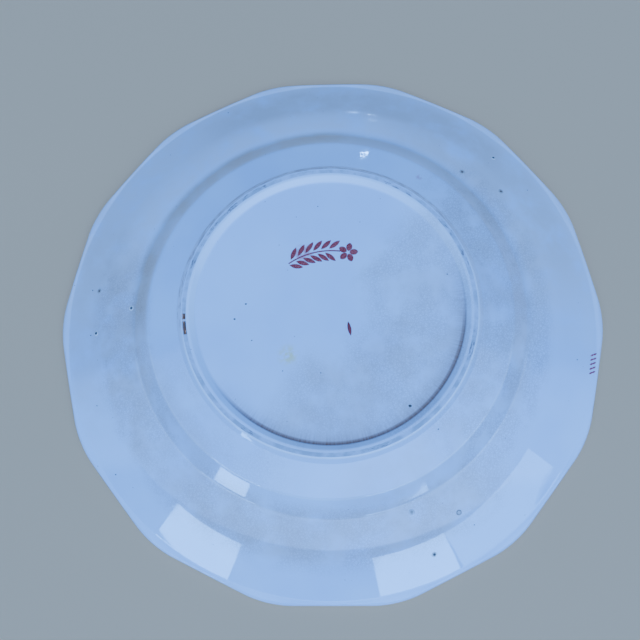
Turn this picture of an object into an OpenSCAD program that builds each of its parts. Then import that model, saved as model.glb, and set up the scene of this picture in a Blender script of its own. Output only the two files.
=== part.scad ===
// A fourteen-sided serving plate of glazed earthenware, lying face down on its lip with its foot
// ring upwards. The eating face looks down, the marked back looks up.
// The origin is the centre of the plane that the lip rests on, and a corner of the outline is on +X.

/* [Outline] */
// Number of sides of the rim's outline
side_count = 14; // [10:2:20]
// Width across two opposite flat sides
across_flats = 263; // [215:1:320]
// Radius that rounds each corner of the outline
corner_round = 54; // [30:1:80]
// Straight runs that stand for the curve of each corner
corner_steps = 8; // [4:2:12]

/* [Heights] */
// From the lip's resting plane up to the crest of the foot ring
plate_height = 34; // [28:0.5:42]
// Height of the lip's edge
lip_height = 3.6; // [3:0.1:5]
// Rise of the wall between rim and shoulder
wall_rise = 7; // [5:0.1:9]
// Rise of the shoulder from the wall up to the foot ring
shoulder_rise = 6.1; // [4:0.1:8]
// Height of the foot ring's outer step
foot_step = 2; // [1.2:0.1:3]
// Depth of the base recess below the foot ring's crest
recess_depth = 1.8; // [1:0.1:3]

/* [Widths] */
// Outer radius of the foot ring's crest
foot_radius = 67.3; // [56:0.1:82]
// Width of the foot ring's crest
foot_width = 3.4; // [3:0.1:6]
// Sideways run of the foot ring's outer step
foot_step_run = 2.3; // [1.5:0.1:3]
// Sideways run of the slope from the crest down into the recess
recess_run = 2.9; // [2:0.1:4]
// Sideways run of the shoulder
shoulder_run = 15.1; // [12:0.1:20]
// Sideways run of the wall
wall_run = 8.4; // [6:0.1:11]
// Sideways run of the flatter inner part of the rim
shelf_run = 10.9; // [8:0.1:13]
// Drop of the flatter inner part of the rim
shelf_drop = 2.3; // [1.5:0.1:3.5]
// Level land behind the flat sides' edges
lip_land = 2.1; // [1.8:0.1:5]
// How far the lip's rounded edge stands out
lip_roll = 1.4; // [0.8:0.1:1.8]

/* [Thicknesses] */
// Thickness of the base inside the foot ring
base_thickness = 5.4; // [4:0.1:7]
// Thickness of the wall and the shoulder
wall_thickness = 4.4; // [3.6:0.1:5.5]
// Thickness of the rim
rim_thickness = 4.1; // [3.4:0.1:5]
// Thickness of the glaze coat
glaze_coat = 0.3; // [0.2:0.05:0.5]
// Thickness of the printed decoration
print_coat = 0.12; // [0.08:0.01:0.2]

/* [Spur marks] */
// Distance of a mark from the middle of its group of three
spur_spread = 12.3; // [8:0.1:13]
// Radius of one mark
spur_radius = 0.9; // [0.5:0.05:1.2]
// Height that a mark stands proud of the glaze
spur_height = 0.2; // [0.1:0.05:0.4]

/* [Back mark] */
// Length of the sprig printed on the base
sprig_length = 33; // [20:1:40]
// Distance of the sprig from the middle of the base
sprig_offset = 27; // [15:1:30]
// Direction in which the sprig lies from the middle of the base
sprig_azimuth = 97; // [0:1:359]
// Length of the decorator's tick
tick_length = 6.8; // [4:0.1:8]

/* [Face decoration] */
// Width of the printed lines
line_width = 0.8; // [0.5:0.1:1.5]
// Length of the middle leaf of each border spray
leaf_length = 16; // [8:0.5:18]
// Length of each petal of the centre flower
petal_length = 18; // [10:1:24]
// Number of petals of the centre flower
petal_count = 8; // [5:1:12]

/* [Hidden] */
clay_colour = "#e6d8bd";
glaze_colour = "#eef2f5";
print_colour = "#a0325f";
spur_colour = "#8a7867";

// Facet counts of the true circles
$fn = 360;
small_fn = 48;

// Radii of the back's bends
lip_bend = 2.2;
widest_shelf_bend = 60;
wall_bend = 4;
step_bend = 1.5;
crest_bend = 0.9;
recess_bend = 2;
// Radii of the face's bends
well_bend = 30;
face_bend = 8;
ground_bend = 4;

// Key places of the back's section
half_across = across_flats / 2;
lip_start = half_across - lip_land;
step_radius = foot_radius + foot_step_run;
wall_top = step_radius + shoulder_run;
wall_foot = wall_top + wall_run;
crest_inner = foot_radius - foot_width;
recess_radius = crest_inner - recess_run;
step_z = plate_height - foot_step;
wall_top_z = step_z - shoulder_rise;
wall_foot_z = wall_top_z - wall_rise;
shelf_end = wall_foot + shelf_run;
shelf_z = wall_foot_z - shelf_drop;
recess_z = plate_height - recess_depth;
well_z = recess_z - base_thickness;
far_edge = half_across + 12;

// The bare land on the crest of the foot ring, and the bare land on the lip
crest_land = [crest_inner + 1.2, foot_radius - 0.4];
lip_bare = half_across - lip_roll - 1.5;

// Outline of the rim
step_angle = 360 / side_count;
corner_centre = (half_across - corner_round) / cos(step_angle / 2);
lip_rings = 6;

// Groups of spur marks: azimuth of the group, and turn of the group on itself
spur_ring = (wall_foot + lip_start) / 2 - 4.3;
near_group = [295.5, 29];
far_group = [42.9, 63];
left_group = [177.7, 0];

// The sprig's leaves, and the marks where the border print laps over the edge
sprig_bow = 34;
sprig_leaves = 6;
lap_azimuth = 349.8;
lap_radius = half_across - lip_roll - 2.2;
lap_reach = 4;
lap_rows = 5;
lap_pitch = 2.2;
lap_dash = [2.3, 0.8];

// Plane geometry
function unit(v) = v / norm(v);
function cross2(a, b) = a[0] * b[1] - a[1] * b[0];
function before(p, i) = p[(i + len(p) - 1) % len(p)];
function after(p, i) = p[(i + 1) % len(p)];
function turn(p, i) = cross2(p[i] - before(p, i), after(p, i) - p[i]);
function half_turn(p, i) =
    let (u = unit(p[i] - before(p, i)), v = unit(after(p, i) - p[i]))
    acos(min(1, max(-1, u * v))) / 2;
function reach(p, r, i) = r[i] * tan(half_turn(p, i));
function arc_start(p, r, i) = p[i] + reach(p, r, i) * unit(before(p, i) - p[i]);
function arc_end(p, r, i) = p[i] + reach(p, r, i) * unit(after(p, i) - p[i]);
function arc_chord(p, r, i) = (arc_start(p, r, i) + arc_end(p, r, i)) / 2;
function arc_centre(p, r, i) = p[i] + unit(arc_chord(p, r, i) - p[i]) * r[i] / cos(half_turn(p, i));
// Where the line through a along u meets the line through b along v
function meet(a, u, b, v) = a + u * cross2(b - a, v) / cross2(u, v);
// The outward normal of the edge from a to b of an anticlockwise polygon
function outward(a, b) = let (d = unit(b - a)) [d[1], -d[0]];
// A corner moved out by t, where t is negative to move it in. Corners on the axis stay on it.
function moved_corner(p, i, t) =
    let (
        n = outward(before(p, i), p[i]),
        m = outward(p[i], after(p, i)),
        q = meet(p[i] + t * n, p[i] - before(p, i), p[i] + t * m, after(p, i) - p[i])
    )
    p[i][0] == 0 ? [0, q[1]] : q;
function moved(p, t) = [for (i = [0 : len(p) - 1]) moved_corner(p, i, t)];
function moved_bends(p, r, t) =
    [for (i = [0 : len(p) - 1]) r[i] == 0 ? 0 : r[i] + (turn(p, i) > 0 ? t : -t)];

// The back's corners from the lip inwards
back_points = [
    [lip_start, lip_height], [shelf_end, shelf_z], [wall_foot, wall_foot_z],
    [wall_top, wall_top_z], [step_radius, step_z], [foot_radius, plate_height],
    [crest_inner, plate_height], [recess_radius, recess_z],
];
// The rim's bend takes up most of its flatter part and no more
shelf_length = norm(back_points[2] - back_points[1]);
shelf_bend = min(widest_shelf_bend, 0.85 * shelf_length / tan(half_turn(back_points, 1)));
// A line of the face: a line of the back, moved through the thickness
function face_line(i, thickness) =
    let (n = outward(back_points[i], back_points[i + 1]))
    [back_points[i] - thickness * n, back_points[i + 1] - back_points[i]];
rim_line = face_line(0, rim_thickness);
shelf_line = face_line(1, rim_thickness);
wall_line = face_line(2, wall_thickness);
shoulder_line = face_line(3, wall_thickness);
face_lip = meet(rim_line[0], rim_line[1], [0, 0], [1, 0]);
face_shelf = meet(shelf_line[0], shelf_line[1], rim_line[0], rim_line[1]);
face_wall_foot = meet(wall_line[0], wall_line[1], shelf_line[0], shelf_line[1]);
face_wall_top = meet(shoulder_line[0], shoulder_line[1], wall_line[0], wall_line[1]);
face_well = meet(shoulder_line[0], shoulder_line[1], [0, well_z], [1, 0]);

section = concat(
    [[0, well_z], face_well, face_wall_top, face_wall_foot, face_shelf, face_lip, [far_edge, 0]],
    [[far_edge, lip_height]], back_points, [[0, recess_z]]
);
bends = [
    0, well_bend, face_bend, face_bend, shelf_bend - rim_thickness, ground_bend, 0,
    0, lip_bend, shelf_bend, wall_bend, wall_bend,
    step_bend, crest_bend, step_bend, recess_bend, 0,
];
face_count = 7;

// The sliver between an arc and its chord
module arc_slice(p, r, i) {
    intersection() {
        translate(arc_centre(p, r, i))
            circle(r = r[i]);
        polygon([arc_start(p, r, i), p[i] + (p[i] - arc_chord(p, r, i)), arc_end(p, r, i)]);
    }
}

// An anticlockwise polygon whose corners are rounded by true arcs
module rounded(p, r) {
    chamfered = [
        for (i = [0 : len(p) - 1])
            for (q = r[i] > 0 ? [arc_start(p, r, i), arc_end(p, r, i)] : [p[i]])
                q
    ];
    difference() {
        union() {
            polygon(chamfered);
            for (i = [0 : len(p) - 1])
                if (r[i] > 0 && turn(p, i) > 0)
                    arc_slice(p, r, i);
        }
        for (i = [0 : len(p) - 1])
            if (r[i] > 0 && turn(p, i) < 0)
                arc_slice(p, r, i);
    }
}

// The plate's section, moved out by t
module whole_section(t = 0) {
    rounded(moved(section, t), moved_bends(section, bends, t));
}

// The half of the section's plane that lies on the face's side of the clay's middle
module face_side() {
    middle = moved(section, -rim_thickness / 2);
    polygon(concat(
        [[0, -5]],
        [for (i = [0 : face_count - 2]) middle[i]],
        [[far_edge + 5, middle[face_count - 2][1]], [far_edge + 5, -5]]
    ));
}

// A skin of thickness t on top of the back, or on top of the face
module back_skin(t) {
    difference() {
        whole_section(t);
        whole_section();
        face_side();
    }
}

module face_skin(t) {
    intersection() {
        difference() {
            whole_section(t);
            whole_section();
        }
        face_side();
    }
}

// Points of the outline, moved in by inset
function outline(inset) = [
    for (i = [0 : side_count - 1])
        for (j = [0 : corner_steps])
            let (a = i * step_angle, b = a + (j / corner_steps - 0.5) * step_angle)
            corner_centre * [cos(a), sin(a)] + (corner_round - inset) * [cos(b), sin(b)]
];

module outline_prism(inset) {
    translate([0, 0, -1])
        linear_extrude(height = plate_height + 2)
            polygon(outline(inset));
}

// A leaf shape, pointed at both ends, with its middle at the origin
module leaf(length, width) {
    r = (length * length + width * width) / (4 * width);
    intersection() {
        translate([0, r - width / 2])
            circle(r = r);
        translate([0, width / 2 - r])
            circle(r = r);
    }
}

// Fired clay: the plate itself, bare only on the crest of the foot ring and under the lip
module clay_body() {
    color(clay_colour)
        intersection() {
            rotate_extrude()
                union() {
                    whole_section(-glaze_coat);
                    intersection() {
                        whole_section();
                        union() {
                            translate([crest_land[0], plate_height - 1])
                                square([crest_land[1] - crest_land[0], 2]);
                            translate([lip_bare, -1])
                                square([far_edge - lip_bare, 2]);
                        }
                    }
                }
            outline_prism(lip_roll);
        }
}

// Glaze over the eating face, up to the bare land under the lip
module face_glaze() {
    color(glaze_colour)
        rotate_extrude()
            intersection() {
                difference() {
                    whole_section();
                    whole_section(-glaze_coat);
                }
                face_side();
                translate([0, -1])
                    square([lip_bare, plate_height]);
            }
}

// Glaze over the back, from the lip to the foot ring's crest
module back_glaze() {
    color(glaze_colour)
        intersection() {
            rotate_extrude()
                difference() {
                    whole_section();
                    whole_section(-glaze_coat);
                    face_side();
                    translate([0, -1])
                        square([crest_land[1], plate_height + 2]);
                }
            outline_prism(lip_roll);
        }
}

// Glaze inside the foot ring
module base_glaze() {
    color(glaze_colour)
        rotate_extrude()
            intersection() {
                difference() {
                    whole_section();
                    whole_section(-glaze_coat);
                    face_side();
                }
                translate([0, -1])
                    square([crest_land[0], plate_height + 2]);
            }
}

// Glaze rolled over the lip's edge: a ring with a half-oval section
module lip_glaze() {
    count = len(outline(0));
    points = [
        for (k = [0 : lip_rings])
            let (a = 180 * k / lip_rings - 90, z = lip_height * (1 + sin(a)) / 2)
            for (q = outline(lip_roll * (1 - cos(a))))
                [q[0], q[1], z]
    ];
    faces = [
        for (k = [0 : lip_rings])
            let (low = k * count, high = ((k + 1) % (lip_rings + 1)) * count)
            for (j = [0 : count - 1])
                let (next = (j + 1) % count)
                [low + j, high + j, high + next, low + next]
    ];
    color(glaze_colour)
        polyhedron(points = points, faces = faces, convexity = 6);
}

// The back mark's drawing: a bowed stem with leaves on both sides and a flower at its end
module sprig() {
    arc = sprig_length / sprig_bow * 180 / PI;
    leaf_step = 0.66 * arc / sprig_leaves;
    translate([0, -sprig_bow]) {
        intersection() {
            difference() {
                circle(r = sprig_bow + 0.3);
                circle(r = sprig_bow - 0.3);
            }
            polygon([[0, 0], 2 * sprig_bow * [sin(-arc / 2), cos(arc / 2)], [0, 2 * sprig_bow],
                2 * sprig_bow * [sin(arc * 0.26), cos(arc * 0.26)]]);
        }
        for (i = [0 : sprig_leaves - 1])
            for (side = [-1, 1])
                rotate(arc * 0.4 - leaf_step * (i + 0.25 * side))
                    translate([0, sprig_bow + side * 3])
                        rotate(side * 40)
                            leaf(6.4, 2.1);
        rotate(-arc * 0.37)
            translate([0, sprig_bow])
                for (i = [0 : 4])
                    rotate(72 * i)
                        translate([0, 2.7])
                            rotate(90)
                                leaf(4, 2.8);
    }
}

module sprig_print() {
    color(print_colour)
        translate([0, 0, recess_z])
            linear_extrude(height = print_coat)
                rotate(sprig_azimuth - 90)
                    translate([0, sprig_offset])
                        sprig();
}

// A decorator's tick on the base
module tick_print() {
    color(print_colour)
        translate([9, -10, recess_z])
            linear_extrude(height = print_coat)
                rotate(-80)
                    leaf(tick_length, 1.7);
}

// Dashes where the face's border print laps over onto the back of the rim
module edge_print() {
    color(print_colour)
        intersection() {
            rotate_extrude()
                intersection() {
                    back_skin(print_coat);
                    translate([lap_radius - lap_reach, 0])
                        square([far_edge - lap_radius, plate_height]);
                }
            rotate(lap_azimuth)
                translate([lap_radius, 0, 0])
                    for (i = [0 : lap_rows - 1])
                        for (j = [0, 1])
                            translate([1.5 * j - 0.8, lap_pitch * (i - (lap_rows - 1) / 2 + 0.4 * j), 0])
                                rotate(35)
                                    linear_extrude(height = plate_height)
                                        leaf(lap_dash[0], lap_dash[1]);
        }
}

// Upright prisms of the face's border: a spray of leaves for each side, and a bud at each corner
module border_prisms() {
    rim_middle = (face_wall_foot[0] + face_lip[0]) / 2;
    linear_extrude(height = plate_height)
        for (i = [0 : side_count - 1])
            rotate(step_angle * (i + 0.5)) {
                translate([rim_middle, 0])
                    leaf(leaf_length, leaf_length * 0.3);
                for (side = [-1, 1])
                    translate([rim_middle + leaf_length * 0.12, side * leaf_length * 0.42])
                        rotate(side * 42)
                            leaf(leaf_length * 0.62, leaf_length * 0.2);
                rotate(step_angle / 2)
                    translate([rim_middle, 0])
                        circle(r = leaf_length * 0.08, $fn = small_fn);
            }
}

module border_print() {
    color(print_colour)
        union() {
            intersection() {
                rotate_extrude()
                    face_skin(print_coat);
                border_prisms();
            }
            rotate_extrude()
                intersection() {
                    face_skin(print_coat);
                    union() {
                        translate([face_lip[0] - 2.5 - line_width, -1])
                            square([line_width, plate_height]);
                        translate([face_wall_foot[0] + 2.5, -1])
                            square([line_width, plate_height]);
                    }
                }
        }
}

// A flower in the middle of the face, inside a line around the well
module centre_print() {
    color(print_colour)
        translate([0, 0, well_z - print_coat])
            linear_extrude(height = print_coat)
                union() {
                    difference() {
                        circle(r = recess_radius - 4);
                        circle(r = recess_radius - 4 - line_width);
                    }
                    circle(r = petal_length * 0.14, $fn = small_fn);
                    for (i = [0 : petal_count - 1])
                        rotate(360 * i / petal_count)
                            translate([petal_length * 0.75, 0])
                                leaf(petal_length, petal_length * 0.34);
                }
}

// Three spots where a kiln spur touched the glaze
module spur_marks(group) {
    color(spur_colour)
        intersection() {
            rotate_extrude()
                back_skin(spur_height);
            rotate(group[0])
                translate([spur_ring, 0, 0])
                    for (i = [0 : 2])
                        rotate(group[1] - group[0] + 120 * i)
                            translate([spur_spread, 0, 0])
                                cylinder(r = spur_radius, h = plate_height, $fn = small_fn);
        }
}

module spur_marks_near() {
    spur_marks(near_group);
}

module spur_marks_far() {
    spur_marks(far_group);
}

module spur_marks_left() {
    spur_marks(left_group);
}

clay_body();
face_glaze();
back_glaze();
base_glaze();
lip_glaze();
sprig_print();
tick_print();
edge_print();
border_print();
centre_print();
spur_marks_near();
spur_marks_far();
spur_marks_left();
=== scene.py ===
"""A fourteen-sided serving plate of glazed earthenware, lying face down to show its marked back."""

import logging
import math
from dataclasses import dataclass
from enum import Enum
from functools import reduce
from typing import Iterable, Sequence

import bpy
from mathutils import Matrix, Vector


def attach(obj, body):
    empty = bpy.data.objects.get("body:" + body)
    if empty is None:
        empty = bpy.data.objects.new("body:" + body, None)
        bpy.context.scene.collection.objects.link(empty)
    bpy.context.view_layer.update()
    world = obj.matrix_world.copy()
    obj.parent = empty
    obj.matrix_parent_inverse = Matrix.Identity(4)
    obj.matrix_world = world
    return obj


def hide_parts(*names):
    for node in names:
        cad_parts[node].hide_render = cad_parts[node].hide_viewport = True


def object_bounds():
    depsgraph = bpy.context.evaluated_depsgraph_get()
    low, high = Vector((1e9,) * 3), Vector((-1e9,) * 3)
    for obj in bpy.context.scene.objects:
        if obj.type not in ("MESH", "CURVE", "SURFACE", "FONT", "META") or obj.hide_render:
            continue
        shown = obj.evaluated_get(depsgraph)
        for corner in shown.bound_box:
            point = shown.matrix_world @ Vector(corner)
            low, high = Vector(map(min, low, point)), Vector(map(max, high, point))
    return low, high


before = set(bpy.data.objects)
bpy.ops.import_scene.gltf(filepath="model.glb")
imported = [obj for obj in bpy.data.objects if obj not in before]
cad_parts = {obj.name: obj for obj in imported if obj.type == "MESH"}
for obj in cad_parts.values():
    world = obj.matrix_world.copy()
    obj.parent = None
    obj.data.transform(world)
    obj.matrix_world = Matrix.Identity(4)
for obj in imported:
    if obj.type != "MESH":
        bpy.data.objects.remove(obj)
CAD_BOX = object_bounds()

log = logging.getLogger("plate")

# The section is worked out in millimetres, and a mesh is made in metres.
MM = 0.001
BODY = "root"
GLAZE_SLOT = "white_glaze"
STAIN_SLOT = "spur_stain"
# Two points closer than this, in millimetres, are one point
TOUCHING = 1e-4
# Points closer than this, in millimetres, are welded when a piece is finished
WELD = 0.002
# The bevel profile that makes a rounded corner a true arc
ARC_PROFILE = 0.558
# Edges that turn by less than this, in degrees, are smooth: on the thrown pieces, and on small marks
SMOOTH = 40.0
SMOOTH_SMALL = 50.0

Number = "float | Value"
Colour = tuple[float, float, float]


# --- Shader expressions ---


class Value:
    """One output of a shader node. Arithmetic on it adds Math nodes to the same material."""

    def __init__(self, graph: "Graph", socket: bpy.types.NodeSocket) -> None:
        """Wraps a node's output.

        Args:
            graph: The node tree that the node belongs to.
            socket: The output that the value stands for.
        """
        self.graph = graph
        self.socket = socket

    def math(self, operation: str, *numbers: Number) -> "Value":
        """Adds a Math node.

        Args:
            operation: The Math node's operation.
            numbers: Its inputs, in their order.

        Returns:
            The node's result.
        """
        return self.graph.node("ShaderNodeMath", {"operation": operation}, dict(enumerate(numbers)))

    def __add__(self, other: Number) -> "Value":
        """The sum of two values."""
        return self.math("ADD", self, other)

    def __radd__(self, other: float) -> "Value":
        """The sum of a number and a value."""
        return self.math("ADD", other, self)

    def __sub__(self, other: Number) -> "Value":
        """The difference of two values."""
        return self.math("SUBTRACT", self, other)

    def __rsub__(self, other: float) -> "Value":
        """The difference of a number and a value."""
        return self.math("SUBTRACT", other, self)

    def __mul__(self, other: Number) -> "Value":
        """The product of two values."""
        return self.math("MULTIPLY", self, other)

    def __rmul__(self, other: float) -> "Value":
        """The product of a number and a value."""
        return self.math("MULTIPLY", other, self)

    def __truediv__(self, other: Number) -> "Value":
        """The quotient of two values."""
        return self.math("DIVIDE", self, other)

    def __rtruediv__(self, other: float) -> "Value":
        """The quotient of a number and a value."""
        return self.math("DIVIDE", other, self)

    def __pow__(self, other: Number) -> "Value":
        """A value raised to a power."""
        return self.math("POWER", self, other)

    def __rpow__(self, other: float) -> "Value":
        """A number raised to the power of a value."""
        return self.math("POWER", other, self)

    def most(self, other: Number) -> "Value":
        """The larger of two values."""
        return self.math("MAXIMUM", self, other)

    def least(self, other: Number) -> "Value":
        """The smaller of two values."""
        return self.math("MINIMUM", self, other)

    def rise(self, start: float, end: float) -> "Value":
        """A soft step of this value.

        Args:
            start: Where the step is still 0.
            end: Where the step has reached 1. It may be below start.

        Returns:
            A value from 0 to 1.
        """
        low, high = (0.0, 1.0) if start < end else (1.0, 0.0)
        ends = {"From Min": min(start, end), "From Max": max(start, end), "To Min": low, "To Max": high}
        settings = {"interpolation_type": "SMOOTHSTEP"}
        return self.graph.node("ShaderNodeMapRange", settings, {"Value": self, **ends})


class Graph:
    """A node tree that is written as expressions."""

    def __init__(self, tree: bpy.types.NodeTree) -> None:
        """Empties the tree.

        Args:
            tree: The node tree.
        """
        self.tree = tree
        self.tree.nodes.clear()

    def node(self, kind: str, settings: dict, inputs: dict, output: int | str = 0) -> Value:
        """Adds any node.

        Args:
            kind: The node's type.
            settings: Its settings, set before the inputs.
            inputs: Numbers, colours or values for its sockets, by name or place.
            output: The output that is wanted, by name or place.

        Returns:
            That output.
        """
        made = self.tree.nodes.new(kind)
        for key, setting in settings.items():
            setattr(made, key, setting)
        for key, given in inputs.items():
            if isinstance(given, Value):
                self.tree.links.new(given.socket, made.inputs[key])
            else:
                made.inputs[key].default_value = given
        return Value(self, made.outputs[output])

    def vector(self, operation: str, *vectors: "Value | Colour", scale: float | None = None) -> Value:
        """Adds a Vector Math node.

        Args:
            operation: The node's operation.
            vectors: Its vector inputs, in their order.
            scale: The factor of a SCALE operation.

        Returns:
            The resulting vector, or the number of a DOT_PRODUCT operation.
        """
        inputs = dict(enumerate(vectors))
        if scale is not None:
            inputs["Scale"] = scale
        output = "Value" if operation == "DOT_PRODUCT" else 0
        return self.node("ShaderNodeVectorMath", {"operation": operation}, inputs, output)

    def parts(self, vector: Value) -> tuple[Value, Value, Value]:
        """Takes a vector apart.

        Args:
            vector: The vector.

        Returns:
            Its three numbers.
        """
        made = self.tree.nodes.new("ShaderNodeSeparateXYZ")
        self.tree.links.new(vector.socket, made.inputs[0])
        x, y, z = (Value(self, out) for out in made.outputs)
        return x, y, z

    def mix(self, amount: Number, under: "Value | Colour", over: "Value | Colour") -> Value:
        """Lays one colour over another.

        Args:
            amount: How much of the upper colour shows, from 0 to 1.
            under: The lower colour.
            over: The upper colour.

        Returns:
            The mixed colour.
        """
        sockets = {0: amount}
        for slot, colour in ((6, under), (7, over)):
            sockets[slot] = colour if isinstance(colour, Value) else (*colour, 1.0)
        return self.node("ShaderNodeMix", {"data_type": "RGBA"}, sockets, 2)


class Recipe(Graph):
    """The node tree of one material, in coordinates of millimetres from the plate's middle."""

    def __init__(self, name: str) -> None:
        """Makes an empty material.

        Args:
            name: The material's name.
        """
        self.material = bpy.data.materials.new(name)
        self.material.use_nodes = True
        super().__init__(self.material.node_tree)
        place = self.node("ShaderNodeTexCoord", {}, {}, "Object")
        self.place = self.vector("SCALE", place, scale=1 / MM)
        self.x, self.y, self.z = self.parts(self.place)
        self.radius = (self.x * self.x + self.y * self.y + 1e-6) ** 0.5

    def noise(self, size: float, detail: float = 3.0, place: Value | None = None, seed: float = 0.0) -> Value:
        """Adds a cloudy noise.

        Args:
            size: The size of its blotches, in millimetres.
            detail: How many finer layers it has.
            place: The coordinates that it follows, or None for the plain ones.
            seed: A distance that moves the pattern along, so that no two are the same.

        Returns:
            A value that is mostly from 0.25 to 0.75.
        """
        moved = self.vector("ADD", place or self.place, (seed, seed * 0.7, seed * 0.3))
        return self.node(
            "ShaderNodeTexNoise",
            {"noise_dimensions": "3D"},
            {"Vector": moved, "Scale": 1 / size, "Detail": detail, "Roughness": 0.55},
        )

    def cells(self, size: float, feature: str, output: str, place: Value | None = None) -> Value:
        """Adds a pattern of cells.

        Args:
            size: The size of one cell, in millimetres.
            feature: The Voronoi node's feature.
            output: The output that is wanted.
            place: The coordinates that it follows, or None for the plain ones.

        Returns:
            That output. Distances are in cells.
        """
        settings = {"voronoi_dimensions": "3D", "feature": feature}
        inputs = {"Vector": place or self.place, "Scale": 1 / size, "Randomness": 1.0}
        return self.node("ShaderNodeTexVoronoi", settings, inputs, output)

    def around(self, stretch: float) -> Value:
        """Coordinates that run round the plate, so that a pattern on them is drawn out along the rings.

        Args:
            stretch: How many times longer the pattern is along a ring than across it.

        Returns:
            The coordinates, true to size near the foot ring.
        """
        share = 66.0 / stretch
        return self.node(
            "ShaderNodeCombineXYZ",
            {},
            {0: self.x / self.radius * share, 1: self.y / self.radius * share, 2: self.radius},
        )

    def toward(self, azimuth: float, half_width: float, soft: float) -> Value:
        """A wedge of the plate, seen from its middle.

        Args:
            azimuth: The direction of the wedge's middle, in degrees.
            half_width: Half of its opening, in degrees.
            soft: The width of each soft side, in degrees.

        Returns:
            1 inside the wedge, and 0 outside it.
        """
        turn = math.radians(azimuth)
        along = (self.x * math.cos(turn) + self.y * math.sin(turn)) / self.radius
        outer = math.cos(math.radians(min(half_width + soft, 179.0)))
        inner = math.cos(math.radians(half_width))
        return along.rise(outer, inner)

    def band(self, inner: float, outer: float, soft: float) -> Value:
        """A ring of the plate.

        Args:
            inner: Its inner radius, in millimetres.
            outer: Its outer radius, in millimetres.
            soft: The width of each soft side, in millimetres.

        Returns:
            1 inside the ring, and 0 outside it.
        """
        return self.radius.rise(inner - soft, inner) * self.radius.rise(outer + soft, outer)

    def spot(self, x: float, y: float, size: float, soft: float) -> Value:
        """A round spot.

        Args:
            x: Its middle, in millimetres.
            y: Its middle, in millimetres.
            size: The radius up to which it is full.
            soft: The width of its soft edge.

        Returns:
            1 inside the spot, and 0 outside it.
        """
        dx, dy = self.x - x, self.y - y
        return ((dx * dx + dy * dy) ** 0.5).rise(size + soft, size)

    def surface(
        self, base: "Value | Colour", roughness: Number, bump: Value | None, **settings: float
    ) -> None:
        """Ends the recipe with a shader.

        Args:
            base: The colour.
            roughness: The roughness.
            bump: The height of the relief in millimetres, or None.
            settings: Numbers for the shader's other sockets, with _ for the spaces in their names.
        """
        inputs = {"Base Color": base if isinstance(base, Value) else (*base, 1.0), "Roughness": roughness}
        inputs.update({name.replace("_", " "): number for name, number in settings.items()})
        if bump is not None:
            relief = {"Strength": 1.0, "Distance": MM, "Height": bump}
            inputs["Normal"] = self.node("ShaderNodeBump", {}, relief)
        shader = self.node("ShaderNodeBsdfPrincipled", {}, inputs)
        output = self.tree.nodes.new("ShaderNodeOutputMaterial")
        self.tree.links.new(shader.socket, output.inputs["Surface"])


# --- Finishes ---


@dataclass(frozen=True)
class Patch:
    """A part of the plate's back, given as a piece of a ring: degrees round it and millimetres across."""

    azimuth: float
    half_width: float
    inner: float
    outer: float
    strength: float = 1.0
    soft: float = 8.0

    def mask(self, recipe: Recipe) -> Value:
        """The patch as a mask of a material."""
        wedge = recipe.toward(self.azimuth, self.half_width, 18.0)
        return wedge * recipe.band(self.inner, self.outer, self.soft) * self.strength


def strongest(masks: Iterable[Value]) -> Value:
    """Joins masks into one.

    Args:
        masks: The masks.

    Returns:
        The strongest of them at each place.
    """
    return reduce(Value.most, masks)


class Side(Enum):
    """Which way a coat of glaze faces."""

    BACK = "back"
    FACE = "face"


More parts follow.
